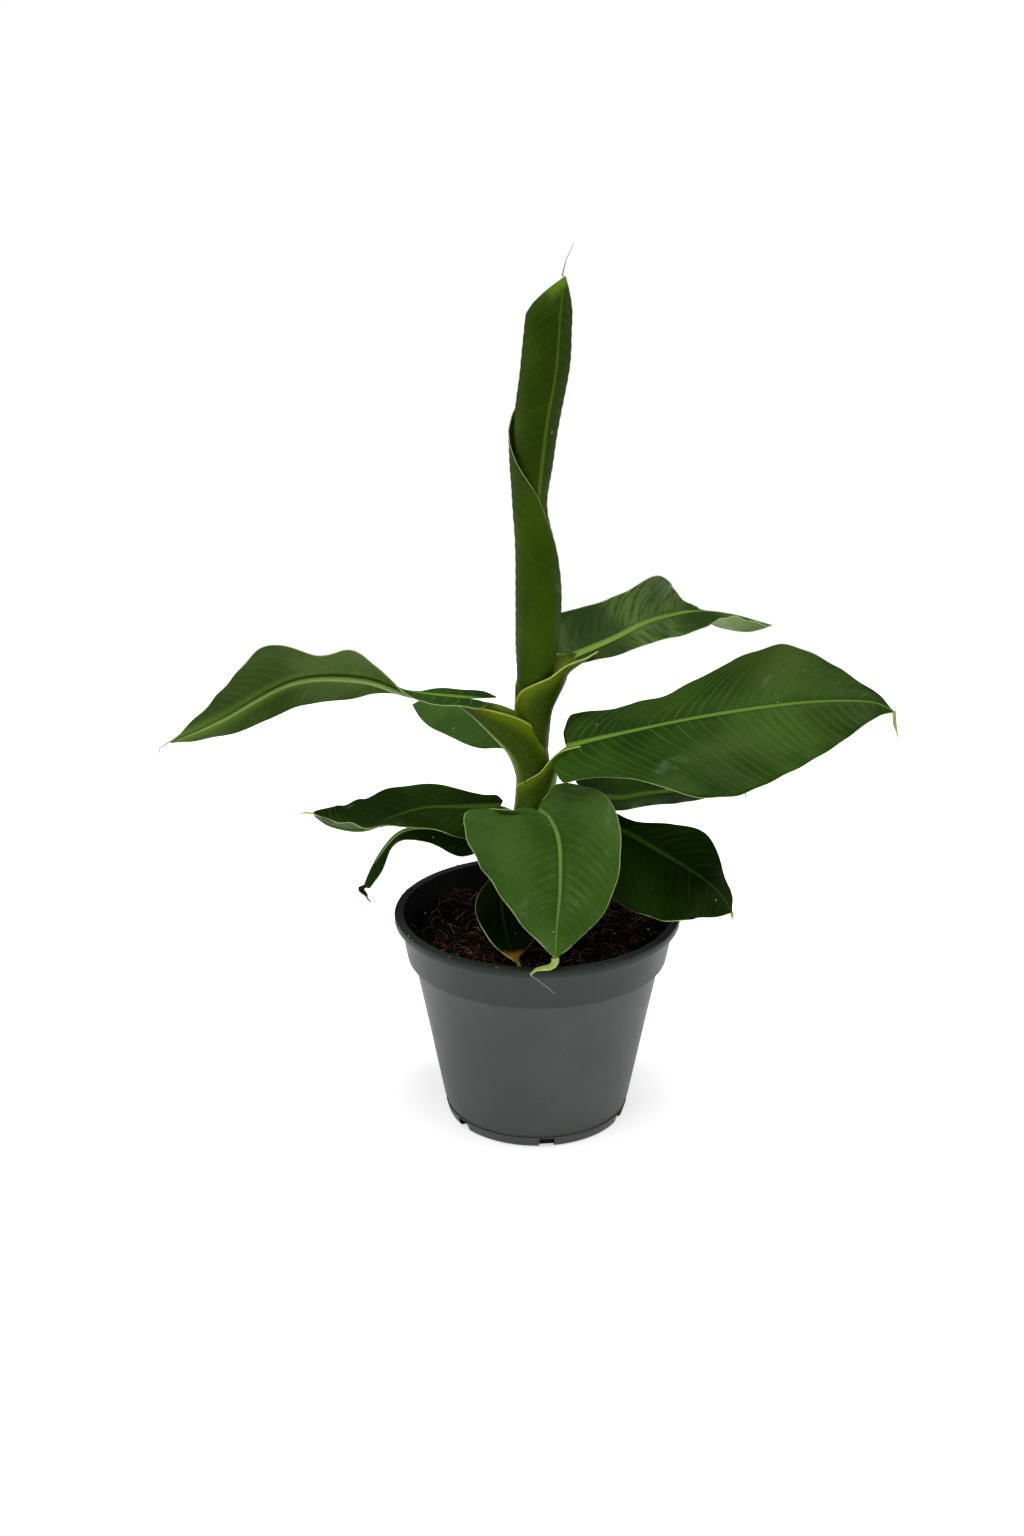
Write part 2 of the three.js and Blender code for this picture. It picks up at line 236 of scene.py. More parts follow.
class Look:
    """One material, and short calls that add nodes to it and hand back their output."""

    def __init__(self, name, roughness=0.5, specular=0.3, sheen=(1, 1, 1, 1)):
        self.material = bpy.data.materials.new(name)
        self.material.use_nodes = True
        self.tree = self.material.node_tree
        self.shader = self.tree.nodes["Principled BSDF"]
        self.shader.inputs["Roughness"].default_value = roughness
        self.shader.inputs["Specular IOR Level"].default_value = specular
        self.shader.inputs["Specular Tint"].default_value = sheen

    def add(self, kind, inputs=(), **settings):
        node = self.tree.nodes.new(kind)
        for key, value in settings.items():
            setattr(node, key, value)
        for key, value in dict(inputs).items():
            self.join(value, node.inputs[key])
        return node

    def join(self, value, socket):
        if isinstance(value, bpy.types.NodeSocket):
            self.tree.links.new(value, socket)
        else:
            socket.default_value = value

    def calc(self, operation, a, b=0.0):
        return self.add("ShaderNodeMath", {0: a, 1: b}, operation=operation).outputs[0]

    def step(self, value, low, high):
        """0 where value is low, 1 where it is high, soft between."""
        inputs = {"Value": value, "From Min": low, "From Max": high}
        node = self.add("ShaderNodeMapRange", inputs, interpolation_type="SMOOTHSTEP")
        return node.outputs["Result"]

    def scale(self, value, low, high):
        """value from 0 to 1 read as low to high."""
        inputs = {"Value": value, "To Min": low, "To Max": high}
        return self.add("ShaderNodeMapRange", inputs).outputs["Result"]

    def mix(self, share, first, second):
        node = self.add("ShaderNodeMix", data_type="RGBA")
        self.join(share, node.inputs[0])
        self.join(first, node.inputs[6])
        self.join(second, node.inputs[7])
        return node.outputs[2]

    def tint(self, colour, mask, strength, shade):
        """colour with a shade laid over it, at a strength, where the mask is 1."""
        return self.mix(self.calc("MULTIPLY", mask, strength), colour, shade)

    def place(self):
        return self.add("ShaderNodeTexCoord").outputs["Object"]

    def uv(self, name):
        """The two numbers of one of the piece's own UV maps."""
        node = self.add("ShaderNodeUVMap", uv_map=name)
        parts = self.add("ShaderNodeSeparateXYZ", {0: node.outputs[0]})
        return parts.outputs[0], parts.outputs[1]

    def noise(self, scale, detail=3.0, coords=None, roughness=0.5):
        inputs = {
            "Vector": coords or self.place(), "Scale": scale, "Detail": detail, "Roughness": roughness,
        }
        return self.add("ShaderNodeTexNoise", inputs).outputs[0]

    def pack(self, x, y):
        return self.add("ShaderNodeCombineXYZ", {0: x, 1: y}).outputs[0]

    def specks(self, scale, size):
        """1 inside small scattered spots of share size, 0 outside."""
        inputs = {"Vector": self.place(), "Scale": scale}
        near = self.add("ShaderNodeTexVoronoi", inputs).outputs["Distance"]
        return self.calc("LESS_THAN", near, size)

    def bump(self, height, distance, normal=None):
        inputs = {"Height": height, "Distance": distance * MM}
        node = self.add("ShaderNodeBump", inputs)
        if normal is not None:
            self.join(normal, node.inputs["Normal"])
        return node.outputs[0]

    def set(self, colour=None, roughness=None, normal=None):
        for key, value in (("Base Color", colour), ("Roughness", roughness), ("Normal", normal)):
            if value is not None:
                self.join(value, self.shader.inputs[key])
        return self.material


WAXY = (0.72, 0.88, 0.32, 1.0)     # tint of the reflections on leaf wax
VEIN_PITCH = 0.62     # centimetres between the strong side veins
FINE_PITCH = 0.085    # and between the fine ones


def veins(look):
    """Masks and measures that follow a blade: its veins, and distances from rib, margin and base."""
    run, out = look.uv("Veins")
    edge, share = look.uv("Margin")
    wobble = look.noise(0.22, 1.0, look.pack(run, out))
    count = look.calc("DIVIDE", look.calc("ADD", run, look.scale(wobble, -0.7, 0.7)), VEIN_PITCH)
    wave = look.calc("PINGPONG", count, 0.5)
    line = look.step(wave, 0.06, 0.01)
    which = look.calc("ROUND", count)
    strength = look.add("ShaderNodeTexWhiteNoise", {"W": which}, noise_dimensions="1D").outputs[0]
    strong = look.calc("MULTIPLY", line, look.scale(strength, 0.15, 1.0))
    fine = look.calc("PINGPONG", look.calc("DIVIDE", run, FINE_PITCH), 0.5)
    return {
        "strong": look.calc("MULTIPLY", strong, look.step(edge, 0.0, 0.5)),
        "fine": fine, "wave": wave, "out": look.calc("ABSOLUTE", out), "edge": edge, "share": share,
        "run": run,
    }


def blade_top(name, green, deep, vein, rib, tip=None, tip_from=0.9, roughness=0.42, gloss=0.2, crease=0.0):
    """Upper face of a blade: glossy green with curved side veins, a pale rib and a thin pale margin partly
    lit by a painted rim highlight, with painted shade between the veins, beside the rib and along creases,
    and pale patches of painted sheen.
    """
    look = Look(name, specular=gloss, sheen=WAXY)
    marks = veins(look)
    cloud = look.noise(16.0, 4.0)
    colour = look.mix(look.step(cloud, 0.36, 0.66), deep, green)
    olive = look.step(look.noise(9.0, 2.0), 0.58, 0.78)
    colour = look.tint(colour, olive, 0.3, tone(92, 96, 34))
    # painted shade: a little darker between the side veins, where the corrugated blade dips
    between = look.scale(marks["wave"], 0.0, 0.42)
    colour = look.tint(colour, between, 0.3, deep)
    colour = look.tint(colour, marks["fine"], 0.16, deep)
    colour = look.tint(colour, marks["strong"], 0.42, vein)
    rib_half = look.scale(marks["share"], 0.2, 0.05)
    ratio = look.calc("DIVIDE", marks["out"], rib_half)
    # painted shade in the groove beside the pale rib
    groove = look.calc("MULTIPLY", look.step(ratio, 2.6, 1.2), 0.35)
    colour = look.mix(groove, colour, deep)
    band = look.step(ratio, 1.15, 0.75)
    ribbed = look.mix(look.step(ratio, 0.0, 0.9), rib, look.mix(0.35, rib, green))
    colour = look.tint(colour, band, look.scale(marks["share"], 1.0, 0.45), ribbed)
    if tip:
        ragged = look.calc("ADD", marks["share"], look.scale(look.noise(120.0), -0.04, 0.04))
        colour = look.mix(look.step(ragged, tip_from, tip_from + 0.06), colour, tip)
    # pale margin: partly the edge's own paler tone, partly a painted rim highlight
    colour = look.mix(look.step(marks["edge"], 0.035, 0.012), colour, tone(140, 156, 96))
    if crease:
        # painted shade: dark crumpled lines where the blade is creased, away from the rib
        fold = look.noise(2.6, 4.0, look.pack(marks["run"], look.calc("MULTIPLY", marks["out"], 0.4)))
        crease_shade_mask = look.calc("MULTIPLY", look.step(fold, 0.46, 0.6), look.step(ratio, 1.2, 2.6))
        colour = look.tint(colour, crease_shade_mask, crease, deep)
    # painted sheen: faint pale patches for soft reflections on the leaf's wax
    patches = look.step(look.noise(26.0, 4.0, roughness=0.6), 0.64, 0.7)
    colour = look.tint(colour, patches, 0.08, tone(170, 184, 160))
    dust = look.specks(70.0, 0.045)
    colour = look.tint(colour, dust, 0.35, tone(190, 196, 180))
    rough = look.scale(look.noise(34.0), roughness - 0.08, roughness + 0.12)
    height = look.calc("ADD", look.calc("MULTIPLY", marks["fine"], 0.35), marks["strong"])
    normal = look.bump(height, 0.16)
    return look.set(colour, rough, look.bump(look.noise(260.0), 0.1, normal))


def blade_under(name, green, pale, rib):
    """Lower face of a blade: greyer, paler and duller, its veins a little raised."""
    look = Look(name, specular=0.15, sheen=WAXY)
    marks = veins(look)
    colour = look.mix(look.step(look.noise(18.0), 0.35, 0.7), green, pale)
    colour = look.tint(colour, marks["fine"], 0.25, green)
    colour = look.tint(colour, marks["strong"], 0.28, rib)
    near = look.step(marks["out"], 0.7, 0.0)
    colour = look.tint(colour, near, 0.45, rib)
    rough = look.scale(look.noise(40.0), 0.5, 0.65)
    return look.set(colour, rough, look.bump(look.calc("ADD", marks["fine"], marks["strong"]), 0.05))


def two_tones(name, roughness, scale, first, second):
    """The plain look of a thin edge or thread."""
    look = Look(name, roughness=roughness)
    return look.set(look.mix(look.noise(scale), first, second))


def blade_set(name, green, deep, vein, rib, under, pale, **more):
    """The three materials of a blade: upper face, lower face and margin."""
    top = blade_top(name + "_top", green, deep, vein, rib, **more)
    return [top, blade_under(name + "_under", under, pale, rib), MARGIN]


# pale rim of the blades: partly the edge's own tone, partly a painted highlight on the edge
MARGIN = two_tones("blade_margin", 0.5, 60.0, tone(120, 138, 74), tone(170, 180, 126))
OPEN_BLADE = blade_set(
    "open_blade", tone(66, 98, 34), tone(44, 76, 20), tone(98, 126, 66), tone(112, 142, 60),
    tone(62, 86, 30), tone(88, 112, 56))
# paler green than the other blades, partly painted sheen; its dark crease lines are painted shade
CREASED_BLADE = blade_set(
    "creased_blade", tone(88, 116, 54), tone(32, 58, 14), tone(34, 58, 18), tone(124, 162, 58),
    tone(104, 128, 78), tone(132, 150, 108), crease=0.75)
BROAD_BLADE = blade_set(
    "broad_blade", tone(52, 84, 20), tone(26, 54, 8), tone(122, 148, 78), tone(114, 152, 52),
    tone(46, 66, 20), tone(70, 92, 42), gloss=0.14)
# painted shade: a darkened copy of the blade look for the lower leaves that lie in the plant's shade
SHADED_BLADE = blade_set(
    "shaded_blade", tone(30, 56, 3), tone(13, 33, 0), tone(52, 80, 20), tone(66, 98, 20),
    tone(36, 56, 14), tone(58, 80, 32), gloss=0.1)
# painted shade: greens darkened nearly to black for a low leaf in the plant's shade; the brown tip is the
# leaf's own
SHADED_BROWNED_BLADE = blade_set(
    "shaded_browned_blade", tone(9, 24, 2), tone(2, 9, 0), tone(18, 36, 6), tone(36, 58, 12),
    tone(34, 52, 16), tone(56, 74, 34), tip=tone(164, 108, 24), tip_from=0.89, gloss=0.03)
ROLLED_BLADE = blade_set(
    "rolled_blade", tone(58, 82, 6), tone(36, 56, 2), tone(78, 102, 26), tone(94, 108, 24),
    tone(54, 76, 14), tone(74, 96, 30), tip=tone(96, 122, 24), tip_from=0.95, roughness=0.5, gloss=0.12)


def sheath_outer():
    """Outside of a sheath and petiole: olive green, ribbed lengthwise, paler along its keel, with a painted
    highlight down its sides.
    """
    look = Look("sheath_outside", specular=0.14, sheen=WAXY)
    around, share = look.uv("Sheath")
    run, width = look.uv("Run")
    streaks = look.noise(6.0, 3.0, look.pack(look.calc("MULTIPLY", width, 4.0), run))
    colour = look.mix(look.step(streaks, 0.35, 0.7), tone(33, 50, 0), tone(66, 90, 4))
    lines = look.calc("PINGPONG", look.calc("DIVIDE", width, 0.12), 0.5)
    colour = look.tint(colour, lines, 0.35, tone(28, 44, 0))
    from_keel = look.calc("ABSOLUTE", look.calc("SUBTRACT", around, 0.5))
    keel = look.calc("MULTIPLY", look.step(from_keel, 0.15, 0.07), look.step(share, 0.2, 0.5))
    colour = look.tint(colour, keel, 0.8, tone(106, 142, 48))
    # painted highlight: bright yellow-green down the sides of the sheath, away from its keel
    glow = look.calc("MULTIPLY", look.step(from_keel, 0.3, 0.5), look.step(share, 0.3, 0.5))
    colour = look.tint(colour, glow, 0.7, tone(110, 132, 14))
    blush = look.step(look.noise(22.0, 2.0), 0.56, 0.74)
    colour = look.tint(colour, blush, 0.4, tone(82, 66, 30))
    lip = look.step(from_keel, 0.475, 0.49)
    colour = look.mix(lip, colour, tone(156, 170, 66))
    rough = look.scale(look.noise(50.0), 0.36, 0.5)
    return look.set(colour, rough, look.bump(lines, 0.12))


def sheath_inner():
    """Inside of a sheath: smooth, its own pale yellow-green made brighter as painted light for the light
    that shines through it.
    """
    look = Look("sheath_inside", specular=0.2, sheen=WAXY)
    colour = look.mix(look.noise(40.0), tone(132, 158, 44), tone(176, 190, 84))
    rough = look.scale(look.noise(50.0), 0.38, 0.5)
    return look.set(colour, rough, look.bump(look.noise(400.0, 2.0), 0.06))


def keel_look():
    """The pale rib under a blade."""
    look = Look("blade_keel", specular=0.3)
    colour = look.mix(look.noise(30.0), tone(92, 124, 44), tone(132, 160, 78))
    grain = look.noise(500.0)
    return look.set(colour, look.scale(grain, 0.4, 0.55), look.bump(grain, 0.05))


def plastic_look():
    """Satin grey-green moulded plastic, a little scuffed and stained, with painted shade over the collar,
    darker still at the lip.
    """
    look = Look("pot_plastic_satin", specular=0.18)
    cloud = look.noise(14.0, 4.0)
    colour = look.mix(look.step(cloud, 0.3, 0.7), tone(58, 64, 63), tone(67, 73, 71))
    height = look.add("ShaderNodeSeparateXYZ", {0: look.place()}).outputs[2]
    # painted shade: the collar darker than the body below it
    collar = look.step(height, 0.1015, 0.103)
    colour = look.tint(colour, collar, 0.8, tone(42, 49, 48))
    # painted shade: darker again at the lip and just under it
    lip_shade = look.step(height, 0.1235, 0.1265)
    colour = look.tint(colour, lip_shade, 0.8, tone(30, 38, 34))
    smear = look.step(look.noise(38.0, 5.0, roughness=0.65), 0.6, 0.74)
    colour = look.tint(colour, smear, 0.25, tone(54, 48, 38))
    foot = look.calc("MULTIPLY", look.step(height, 0.03, 0.002), look.step(cloud, 0.5, 0.7))
    colour = look.tint(colour, foot, 0.5, tone(62, 55, 42))
    colour = look.tint(colour, look.specks(150.0, 0.06), 0.6, tone(40, 36, 30))
    colour = look.tint(colour, look.specks(97.0, 0.035), 0.5, tone(150, 146, 134))
    rough = look.scale(look.noise(60.0, 5.0), 0.38, 0.56)
    grain = look.bump(look.noise(900.0, 2.0), 0.03)
    return look.set(colour, rough, look.bump(cloud, 0.25, grain))


def shade_stain_look():
    """The pot's inner wall: nearly black, as painted shade inside the pot over stains of damp peat and
    algae.
    """
    look = Look("pot_plastic_shade_stain", specular=0.12)
    patches = look.noise(70.0, 5.0, roughness=0.7)
    colour = look.mix(look.step(patches, 0.4, 0.7), tone(8, 10, 7), tone(22, 26, 18))
    return look.set(colour, look.scale(patches, 0.6, 0.85), look.bump(patches, 0.3))


def soil_look():
    """Damp peat and coir: its own dark brown, darkened to almost black as painted shade under the leaves.
    """
    look = Look("potting_soil_damp", specular=0.06)
    grit = look.noise(420.0, 5.0, roughness=0.7)
    colour = look.mix(look.step(grit, 0.4, 0.72), tone(1, 1, 0), tone(14, 8, 5))
    return look.set(colour, look.scale(grit, 0.8, 1.0), look.bump(grit, 1.2))


def plain_grain(name, dark, light, scale=350.0):
    """The look of a small thing: two tones in fine grain."""
    look = Look(name, roughness=0.8, specular=0.15)
    grain = look.noise(scale)
    colour = look.mix(look.step(grain, 0.35, 0.65), dark, light)
    return look.set(colour, None, look.bump(grain, 0.2))


SHEATH_RIM = two_tones("sheath_rim", 0.45, 80.0, tone(164, 178, 66), tone(206, 210, 122))
SHEATH = [sheath_outer(), sheath_inner(), SHEATH_RIM]
KEEL = keel_look()
DRY = two_tones("dry_thread", 0.7, 300.0, tone(176, 164, 132), tone(128, 108, 74))
FRESH = two_tones("fresh_curl", 0.5, 240.0, tone(130, 152, 56), tone(172, 186, 96))
THREAD_R = 0.45        # a tail thinner than this, in millimetres, has dried to a thread

# ---- leaves ----
# rib: points of the midrib from the petiole to the tip.
# roll: turn of the blade about the midrib, in degrees, read evenly along it.
# left and right halves, as seen from above looking to the tip: width, fold (slope where the
# half leaves the midrib) and curl (how far its slope turns by the margin), all read evenly.
# lobe: how far the base of the left and of the right half reaches back past the petiole.
# stalk and girth: points and radii of the sheath and petiole, from the stem to the blade.
# wrap: half the angle that the sheath goes round, read evenly along it; WRAP where none is given.
# tail: the drip tip past the end of the blade, as steps from there, each with its radius.
WRAP = [178, 178, 150, 105, 70]
LEAVES = {
    "upper_right": {
        "rib": [(23, 10, 286), (43, 32, 288), (67, 62, 290.5), (97, 96, 287), (122, 118, 279),
                (149, 134, 267)],
        "roll": [-40, -45, -45, -20, 5],
        "left": {"width": [28, 25, 23, 22, 28, 19, 11, 11, 14, 9, 2], "fold": [10, 20, 25, -60, -110],
                 "curl": [5, 30, -5]},
        "right": {"width": [6, 10.5, 14, 15, 8, 2], "fold": [-5, -5, 15, -15], "curl": [0, -5, 5]},
        "lobe": (23, 6),
        "stalk": [(-3, 0, 205), (-3, 0, 240), (-1, 1, 262), (8, 4, 281), (23, 10, 287)],
        "girth": [9.4, 9.2, 10.5, 12.5, 7.2], "wrap": [185, 187, 190, 190, 188, 160, 105, 85, 70],
        "looks": CREASED_BLADE, "tail": [],
    },
    "upper_left": {
        "rib": [(-42, -10, 266), (-72, -17, 272), (-99, -24, 282), (-137, -34, 283), (-177, -42, 263),
                (-205, -46, 252)],
        "roll": [8, 8, -8, -42, -65, -71, -75, -80, -85, -73, -55],
        "left": {"width": [14, 13, 13, 18, 24.5, 17.5, 32.5, 23.5, 14.5, 8, 2], "fold": [0, -5, 0],
                 "curl": [0, -20, 0]},
        "right": {"width": [12, 8, 15, 15, 11, 3], "fold": [0, -5, 0], "curl": [0, -20, 0]},
        "lobe": (12, 20),
        "stalk": [(-3, 0, 180), (-2.6, -1, 212), (-7.6, -3, 234), (-21, -6, 251), (-42, -10, 264.5)],
        "girth": [9.8, 9.2, 11, 10.8, 5.5], "wrap": [178, 174, 162, 125, 80],
        "looks": BROAD_BLADE, "tail": [((-6, 0, -4), 0.3), ((-7, 0, -10), 0.18)],
    },
    "back_left": {
        "rib": [(-9, 18, 239), (-22, 30, 244), (-43, 52, 243), (-62, 76, 238), (-71, 95, 231),
                (-74, 106, 221)],
        "roll": [5, 0, 0],
        "left": {"width": [14, 25, 24, 20, 10, 2], "fold": [-50, -40, -30], "curl": [-10, -10, 0]},
        "right": {"width": [14, 26, 30, 26, 16, 2], "fold": [-50, -50, -40], "curl": [-10, -10, 0]},
        "lobe": (6, 6),
        "stalk": [(0, 0, 165), (-2, 3, 195), (-4, 8, 218), (-9, 18, 238)],
        "girth": [13.8, 12.5, 8, 3.8],
        "looks": OPEN_BLADE, "tail": [],
    },
    "right": {
        "rib": [(16, -9, 236), (42, -13, 244), (94, -20, 258), (147, -26, 268), (184, -30, 270),
                (199, -32, 265)],
        "roll": [-38, -18, -35, -45, -40],
        "left": {"width": [24, 26.5, 31.5, 33.5, 37, 42.5, 43.5, 40, 28, 11, 1.5], "fold": [0, 0, 0],
                 "curl": [-15, -20, 0]},
        "right": {"width": [24, 27.5, 40, 54, 60, 56, 48, 40, 30, 17, 3], "fold": [5, 5, 0],
                  "curl": [-15, -15, 0]},
        "lobe": (1, 9),
        "stalk": [(-1, 0, 168), (-1, -1, 200), (2, -4, 217), (8, -7, 229), (16, -9, 236)],
        "girth": [13, 12.4, 11.6, 8.4, 5], "wrap": [178, 178, 176, 172, 158, 118, 80, 75, 75],
        "looks": BROAD_BLADE,
        "tail": [((0.6, -1, -7.5), 1.1), ((2, -1, -12), 0.5), ((3.4, -1, -16.5), 0.2)],
    },
    "front": {
        "rib": [(0, -17, 200), (7, -25, 197), (12, -41, 188), (12, -62, 170), (10, -78, 155),
                (9, -88, 139)],
        "roll": [-15, -5, 10, 40],
        "left": {"width": [14, 36, 41, 33, 20, 2], "fold": [35, 20, 0], "curl": [25, 15, 0]},
        "right": {"width": [16, 60, 63, 52, 28, 2], "fold": [30, 25, 0], "curl": [10, 15, 0]},
        "lobe": (1, 1),
        "stalk": [(0, 0, 140), (0, -3, 168), (0, -10, 186), (0, -17, 199)],
        "girth": [14.8, 12, 7.4, 4],
        "looks": OPEN_BLADE,
        "tail": [((0, 0, -2), 2.2), ((-1, 0, -4), 2.1), ((-3.5, 0, -5.6), 1.9), ((-7, -1, -5.6), 1.5),
                 ((-10.5, -1, -6.4), 1.1), ((-13.5, -2, -8.6), 0.6), ((-13, -2, -10), 0.2),
                 ((-9, -2, -13), 0.2), ((-4, -2, -17), 0.18), ((0, -2, -21), 0.15)],
    },
    "left": {
        "rib": [(-22, 6, 194), (-46, 4, 194), (-67, 2, 194), (-85, 0, 189), (-103, -1, 182), (-121, 0, 184),
                (-132, 3, 190)],
        "roll": [15, 10, 10, -5],
        "left": {"width": [20, 20, 17, 22, 16, 3], "fold": [-35, -15, 35, 30], "curl": [-25, -10, 10]},
        "right": {"width": [10, 19, 28, 29, 28, 8], "fold": [5, 5, 15], "curl": [-10, -10, 5]},
        "lobe": (2, 2),
        "stalk": [(0, 0, 135), (-3, 1, 163), (-10, 4, 183), (-22, 6, 193)],
        "girth": [15, 12.5, 7.4, 3.8],
        "looks": SHADED_BLADE, "tail": [((-4, 0, 0.5), 0.6), ((-8, 0, -0.5), 0.2)],
    },
    "low_left": {
        "rib": [(-23, 12, 175), (-40, 18, 174), (-64, 26, 173), (-82, 30, 169), (-95, 32, 154),
                (-105, 32, 133), (-104, 31, 125)],
        "roll": [-10, 0, 0],
        "left": {"width": [12, 19, 12, 8, 5, 8, 2], "fold": [-40, -45, -60, -30], "curl": [-5, -10, 0]},
        "right": {"width": [10, 16, 12, 8, 5, 8, 2], "fold": [-40, -40, -70, -40], "curl": [-10, -10, 0]},
        "lobe": (0, 0),
        "stalk": [(0, 0, 122), (-3, 2, 145), (-11, 7, 164), (-23, 12, 174)],
        "girth": [15.6, 12.5, 6.6, 3.4],
        "looks": SHADED_BLADE, "tail": [((1, 0, -2), 0.8), ((3, 0, -4), 0.5)],
    },
    "back_right": {
        "rib": [(36, 16, 196), (50, 32, 189), (69, 56, 183), (96, 84, 175), (118, 104, 170),
                (132, 116, 164)],
        "roll": [-45, -45, -60, -35],
        "left": {"width": [20, 24, 32, 28, 16, 2], "fold": [5, 0, 0], "curl": [5, 0, 0]},
        "right": {"width": [9, 8, 8, 8, 7, 2], "fold": [-5, -15, -10], "curl": [-15, -20, -5]},
        "lobe": (16, 0),
        "stalk": [(0, 0, 130), (4, 2, 158), (17, 8, 183), (36, 16, 195)],
        "girth": [15.2, 12, 6.4, 3.6],
        "looks": SHADED_BLADE, "tail": [((3, 2, -5), 0.5), ((4, 3, -10), 0.2)],
    },
    "low_right": {
        "rib": [(35, -4, 186), (51, -12, 184), (74, -28, 176), (95, -42, 167), (105, -48, 159),
                (110, -52, 151)],
        "roll": [-40, -45, -25, -10],
        "left": {"width": [14, 8, 17, 24, 13, 2], "fold": [10, 5, -5], "curl": [5, 5, 0]},
        "right": {"width": [20, 34, 38, 36, 33, 14], "fold": [-5, -10, -5], "curl": [-15, -15, -5]},
        "lobe": (8, 8),
        "stalk": [(0, 0, 121), (3, -1, 144), (14, -2, 170), (35, -4, 185)],
        "girth": [15.8, 12.5, 6.2, 3.6],
        "looks": SHADED_BLADE, "tail": [((0.5, 0, -2), 1.0), ((0.5, 0, -4), 0.4)],
    },
    "low_front": {
        "rib": [(-10, -22, 182), (-17, -32, 171), (-21, -48, 157), (-18, -64, 143), (-15, -72, 136),
                (-12, -76, 131)],
        "roll": [-10, -10, 15, 15],
        "left": {"width": [10, 18, 22, 25, 18, 3], "fold": [10, -5, 0], "curl": [-10, -20, 0]},
        "right": {"width": [10, 10, 14, 15, 12, 2], "fold": [10, -5, 0], "curl": [-10, -20, 0]},
        "lobe": (3, 3),
        "stalk": [(0, 0, 122), (-2, -3, 146), (-6, -11, 167), (-10, -22, 181)],
        "girth": [15.4, 11.5, 6, 3.2],
        "looks": SHADED_BROWNED_BLADE, "tail": [((1, 0, -2), 0.9), ((1.5, 0, -4), 0.5)],
    },
}

BLADE_COLUMNS = 56
BLADE_ROWS = 150
BASE_ROUND = 0.03      # share of the blade over which its base corners are round
TIP_ROUND = 0.07       # and its tip
LEAST_HALF = 1.5       # a half of a blade is at least this wide before it is rounded
VEIN_PITCH_MM = 10 * VEIN_PITCH

# relief of a blade: heights, and the lengths that they are spread over, in millimetres
GROOVE, GROOVE_R = 0.55, 1.7       # over the midrib
SHOULDER, SHOULDER_AT, SHOULDER_R = 0.3, 3.2, 1.6      # beside the groove
CORRUGATION = 0.22                 # between the side veins
WAVE, WAVE_LENGTH = 0.9, 11        # of the outer half
FLUTTER, FLUTTER_LENGTH = 0.7, 4.1     # of the margin
DENT, DENT_LENGTH = 1.5, 24        # uneven, all over


def leaf_sheet(name, leaf):
    """A blade's spot function: x across it from the left margin, y along it from the petiole."""
    rib = Spine(leaf["rib"])
    length = rib.length
    seed = 7.3 * len(name) + ord(name[0])

    @lru_cache(maxsize=None)
    def row(u):
        rounded = math.sqrt(max(1 - (max(u - 1 + TIP_ROUND, 0) / TIP_ROUND) ** 2, 0.02))
        based = math.sqrt(max(1 - (max(BASE_ROUND - u, 0) / BASE_ROUND) ** 2, 0.2))
        halves = {}
        for key in ("left", "right"):
            half = leaf[key]
            width = max(along(half["width"], u), LEAST_HALF) * rounded * based
            fold = math.radians(along(half["fold"], u))
            curl = math.radians(along(half["curl"], u)) + 1e-5
            halves[key] = (width, fold, curl)
        return rib.frame(u, along(leaf["roll"], u)), halves

    def spot(x, y):
        side = 2 * x - 1
        q = abs(side)
        sign = -1 if side < 0 else 1
        (place, ahead, right, up), halves = row(round(y, 6))
        width, fold, curl = halves["left" if side < 0 else "right"]
        slope = fold + curl * q
        across = width * (math.sin(slope) - math.sin(fold)) / curl
        lift = -width * (math.cos(slope) - math.cos(fold)) / curl
        back = leaf["lobe"][0 if side < 0 else 1] * q * (2 - q) * (1 - y) ** 5
        normal = up * math.cos(slope) - right * (sign * math.sin(slope))
        out = q * width
        run = y * length - width * (0.5 * q + 0.45 * q * q)
        spread = smooth(2, 9, out)
        height = -GROOVE * math.exp(-(out / GROOVE_R) ** 2) * (1 - y) ** 0.3
        height += SHOULDER * math.exp(-((out - SHOULDER_AT) / SHOULDER_R) ** 2) * (1 - y)
        height += CORRUGATION * spread * math.cos(2 * math.pi * run / VEIN_PITCH_MM) * (1 - q ** 6)
        height += WAVE * q ** 2 * math.sin(run / WAVE_LENGTH + seed) * smooth(0, 0.1, y)
        height += FLUTTER * q ** 6 * math.sin(run / FLUTTER_LENGTH + 2 * seed + sign) * smooth(0, 0.1, y)
        dents = noise.noise(Vector((run / DENT_LENGTH, sign * out / DENT_LENGTH, seed)))
        height += DENT * spread * dents
        point = place + right * (sign * across) + up * lift - ahead * back + normal * height
        maps = {
            "Veins": (run / 10 + 3, sign * out / 10),
            "Margin": ((1 - q) * width / 10, y),
        }
        return point, maps

    return rib, spot


def make_blade(name, leaf):
    rib, spot = leaf_sheet(name, leaf)
    bm = sheet_mesh(BLADE_COLUMNS, BLADE_ROWS, spot)
    piece = piece_from(bm, "blade_" + name, leaf["looks"], ["leaf_" + name], sharp=80)
    thicken(piece, BLADE_THICKNESS)
    return rib


# ---- sizes of the rolled leaf ----
ROLL_FOOT = 250
ROLL_TOP = 500
RIB_TURN = math.radians(-62)
